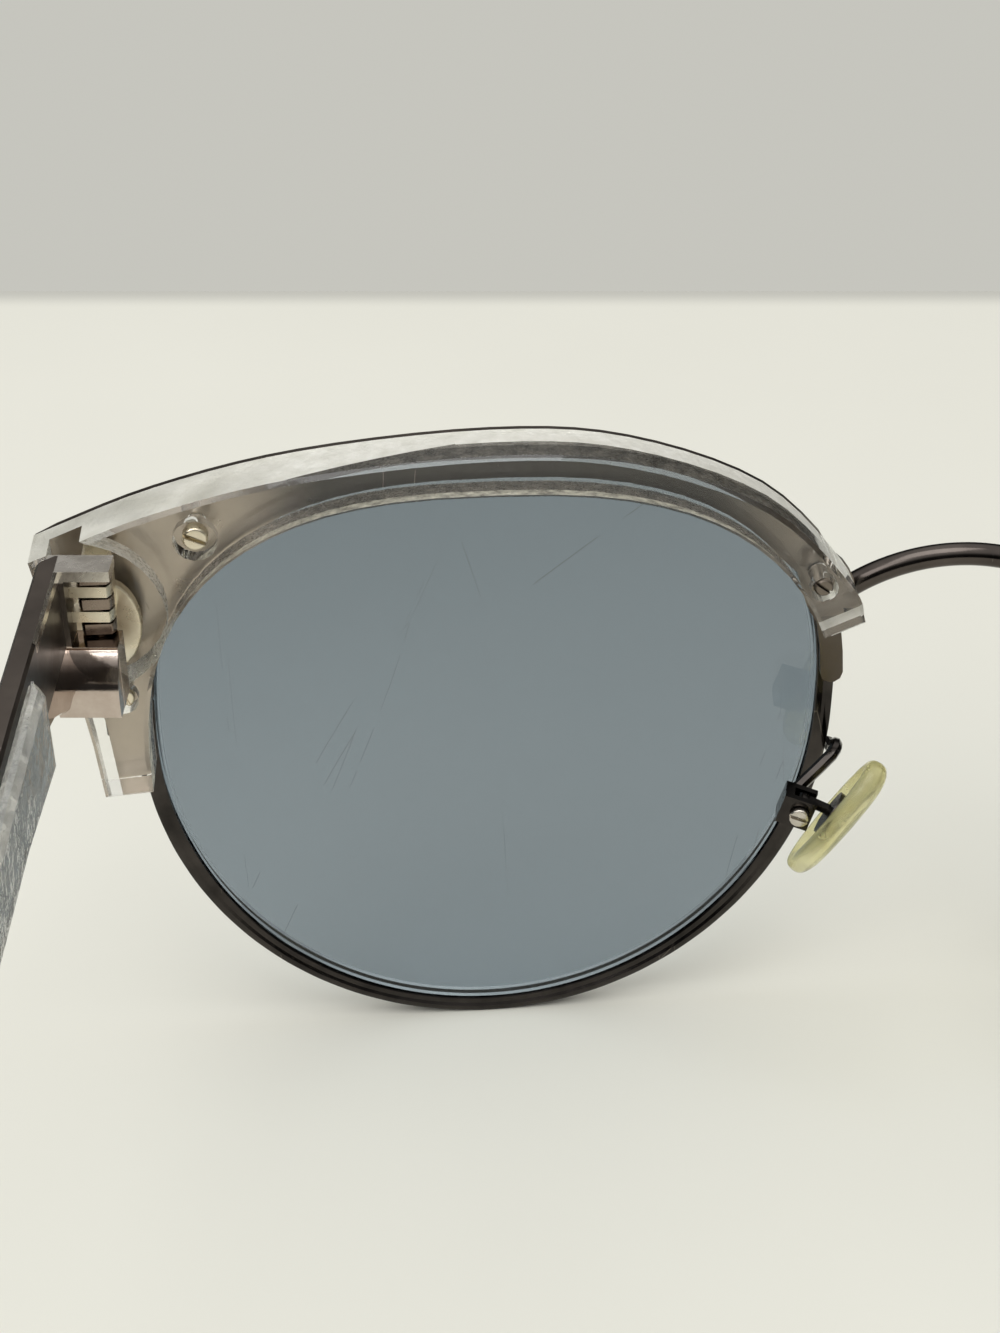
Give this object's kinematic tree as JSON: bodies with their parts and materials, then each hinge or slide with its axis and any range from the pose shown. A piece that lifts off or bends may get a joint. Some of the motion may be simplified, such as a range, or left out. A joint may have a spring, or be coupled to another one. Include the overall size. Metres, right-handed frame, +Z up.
{
  "type": "sunglasses",
  "caption": "Folding sunglasses with domed grey lenses in metal eyewires, clear brow blocks on metal plates, nose pads on bent arms and metal temples with clear linings.",
  "frame": {"origin": "middle of the bounding box seen from above, on the table plane that the rims and the ear tips stand on", "axes": "+X to the wearer's left, -Y the way the lenses face, +Z up"},
  "size_m": [0.1332, 0.139, 0.0549],
  "materials": {
    "gunmetal": "satin, dark brown grey",
    "taupe_metal": "satin taupe",
    "bright_steel": "bright, warm",
    "clear_acetate": "polished, slightly yellow at its edges",
    "grey_lens": "glossy grey tint",
    "pad_silicone": "soft, half clear, yellowed"
  },
  "bodies": {
    "front": {"bridge": "gunmetal", "eyewire_left": "gunmetal", "eyewire_right": "gunmetal", "rim_screw_left": "bright_steel", "rim_screw_right": "bright_steel", "lens_left": "grey_lens", "lens_right": "grey_lens", "brow_plate_left": "taupe_metal", "brow_plate_right": "taupe_metal", "clear_brow_left": "clear_acetate", "clear_brow_right": "clear_acetate", "brow_screw_top_left": "bright_steel", "brow_screw_top_right": "bright_steel", "brow_screw_nose_left": "bright_steel", "brow_screw_nose_right": "bright_steel", "brow_screw_lug_left": "bright_steel", "brow_screw_lug_right": "bright_steel", "hinge_plate_left": "bright_steel", "hinge_plate_right": "bright_steel", "pad_arm_left": "gunmetal", "pad_arm_right": "gunmetal", "pad_screw_left": "bright_steel", "pad_screw_right": "bright_steel"},
    "temple_left": {"temple_left": "gunmetal", "hinge_screw_left": "bright_steel", "temple_lining_left": "clear_acetate"},
    "temple_right": {"temple_right": "gunmetal", "hinge_screw_right": "bright_steel", "temple_lining_right": "clear_acetate"},
    "pad_left": {"pad_core_left": "gunmetal", "nose_pad_left": "pad_silicone"},
    "pad_right": {"pad_core_right": "gunmetal", "nose_pad_right": "pad_silicone"}
  },
  "joints": [
    {"name": "temple_left_fold", "type": "hinge", "parent": "front", "child": "temple_left", "pos_m": [0.06154, -0.05595, 0.0462], "axis": [0, 0, 1], "range_deg": [0, 90]},
    {"name": "temple_right_fold", "type": "hinge", "parent": "front", "child": "temple_right", "pos_m": [-0.06154, -0.05595, 0.0462], "axis": [0, 0, -1], "range_deg": [0, 82]},
    {"name": "pad_left_rock", "type": "hinge", "parent": "front", "child": "pad_left", "pos_m": [0.01185, -0.05926, 0.0258], "axis": [0.1647, 0.984, 0.0675], "range_deg": [-8, 8]},
    {"name": "pad_right_rock", "type": "hinge", "parent": "front", "child": "pad_right", "pos_m": [-0.01185, -0.05926, 0.0258], "axis": [-0.1647, 0.984, 0.0675], "range_deg": [-8, 8]}
  ]
}
